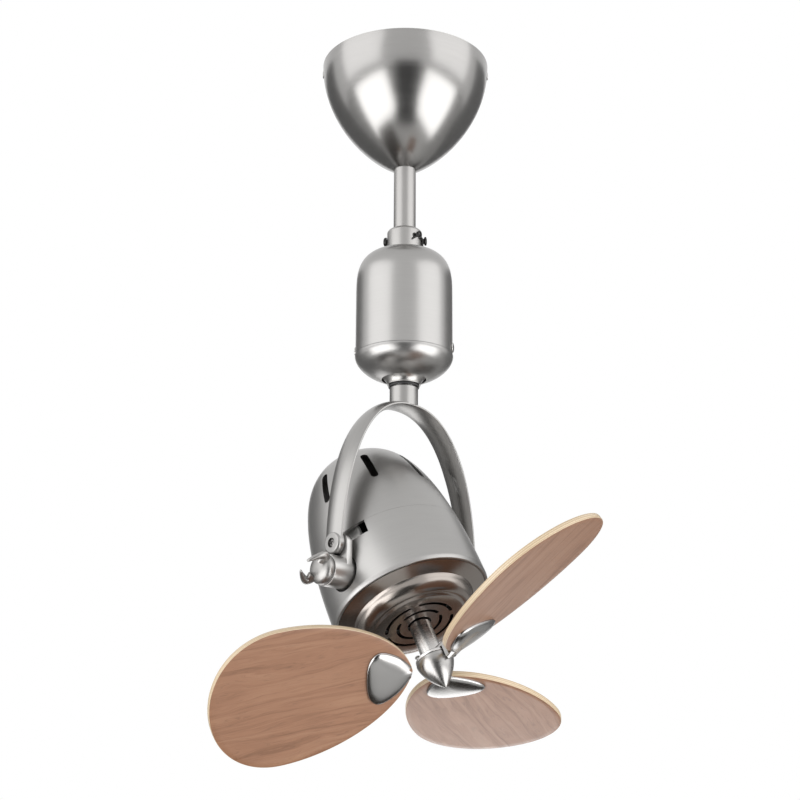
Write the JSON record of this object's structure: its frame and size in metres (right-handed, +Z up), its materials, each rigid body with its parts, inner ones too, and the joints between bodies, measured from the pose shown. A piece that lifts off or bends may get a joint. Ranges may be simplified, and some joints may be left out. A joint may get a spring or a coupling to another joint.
{
  "type": "ceiling fan",
  "caption": "Directional ceiling fan: bell canopy, short rod, capsule drive housing, turning U-arm and a tilting egg-shaped motor head with wooden paddle blades.",
  "frame": {"origin": "middle of the ceiling bracket's top face, which meets the ceiling, on the rod's axis", "axes": "+Z up into the ceiling, along the rod; +X along the head's tilt axis, with the wing nut at its -X end; the head leans towards -Y at rest"},
  "size_m": [0.3715, 0.3213, 0.6771],
  "materials": {
    "brushed_nickel": "brushed nickel plate, fine vertical grain",
    "polished_nickel": "polished nickel plate",
    "maple_ply": "clear-coated plywood with a warm brown face and pale edges",
    "black_steel": "black oxide and black paint",
    "zinc_steel": "zinc-plated pressed steel",
    "cast_aluminium": "as cast, shot blasted",
    "bearing_steel": "ground steel",
    "black_nylon": "moulded black nylon",
    "white_nylon": "moulded natural nylon",
    "laminations": "stacked electrical steel and varnished windings"
  },
  "bodies": {
    "hanging_frame": {"canopy": "brushed_nickel", "ceiling_bracket": "zinc_steel", "canopy_screw_1": "polished_nickel", "canopy_screw_2": "polished_nickel", "hanger_ball": "black_nylon", "ball_cross_pin": "zinc_steel", "down_rod": "brushed_nickel", "rod_coupling": "brushed_nickel", "clevis_pin": "black_steel", "clevis_clip": "black_steel", "coupling_grub_screw": "black_steel", "housing_shell": "brushed_nickel", "housing_base": "brushed_nickel", "housing_screw_1": "polished_nickel", "housing_screw_2": "polished_nickel", "chassis_frame": "zinc_steel", "coupling_nut": "zinc_steel", "slip_ring": "white_nylon", "bearing_sleeve": "polished_nickel", "spindle_bearing_upper": "bearing_steel", "spindle_bearing_lower": "bearing_steel", "orbit_gear_motor": "cast_aluminium"},
    "drive_pinion": {"drive_pinion": "white_nylon"},
    "turning_arm": {"spindle": "zinc_steel", "spindle_gear": "white_nylon", "u_arm": "brushed_nickel", "arm_grub_screw": "black_steel", "pivot_bracket_right": "brushed_nickel", "foot_screw_right": "black_steel", "friction_disc_right": "black_nylon", "pivot_bracket_left": "brushed_nickel", "foot_screw_left": "black_steel", "friction_disc_left": "black_nylon"},
    "motor_head": {"pivot_bolt_right": "zinc_steel", "pivot_bolt_left": "zinc_steel", "pivot_cap_nut": "polished_nickel", "head_shell_upper": "brushed_nickel", "head_shell_lower": "brushed_nickel", "motor_carrier": "cast_aluminium", "motor_stator": "laminations", "motor_end_bell_lower": "cast_aluminium", "motor_end_bell_upper": "cast_aluminium", "motor_bearing_lower": "bearing_steel", "motor_bearing_upper": "bearing_steel", "bottom_cover": "polished_nickel"},
    "wing_nut": {"wing_nut": "polished_nickel"},
    "blade_rotor": {"motor_rotor": "laminations", "motor_shaft": "bearing_steel", "rotor_hub": "polished_nickel", "hub_grub_screw": "black_steel", "spinner": "polished_nickel", "blade_1": "maple_ply", "blade_iron_1": "polished_nickel", "blade_screw_plate_1": "zinc_steel", "blade_2": "maple_ply", "blade_iron_2": "polished_nickel", "blade_screw_plate_2": "zinc_steel", "blade_3": "maple_ply", "blade_iron_3": "polished_nickel", "blade_screw_plate_3": "zinc_steel"}
  },
  "joints": [
    {"name": "head_orbit", "type": "hinge", "parent": "hanging_frame", "child": "turning_arm", "pos_m": [0, 0, -0.33], "axis": [0, 0, 1], "continuous": true},
    {"name": "drive_pinion_spin", "type": "hinge", "parent": "hanging_frame", "child": "drive_pinion", "pos_m": [0.02396, 0.01805, -0.24], "axis": [0, 0, 1], "continuous": true},
    {"name": "head_tilt", "type": "hinge", "parent": "turning_arm", "child": "motor_head", "pos_m": [0, 0, -0.5132], "axis": [1, 0, 0], "range_deg": [-60, 119]},
    {"name": "wing_nut_turn", "type": "hinge", "parent": "motor_head", "child": "wing_nut", "pos_m": [-0.095, 0, -0.5132], "axis": [1, 0, 0], "range_deg": [0, 270]},
    {"name": "rotor_spin", "type": "hinge", "parent": "motor_head", "child": "blade_rotor", "pos_m": [0, 0, -0.5132], "axis": [0, -0.4879, -0.8729], "continuous": true}
  ],
  "couplings": [
    {"joint": "drive_pinion_spin", "follows": "head_orbit", "ratio": -2.3333}
  ]
}
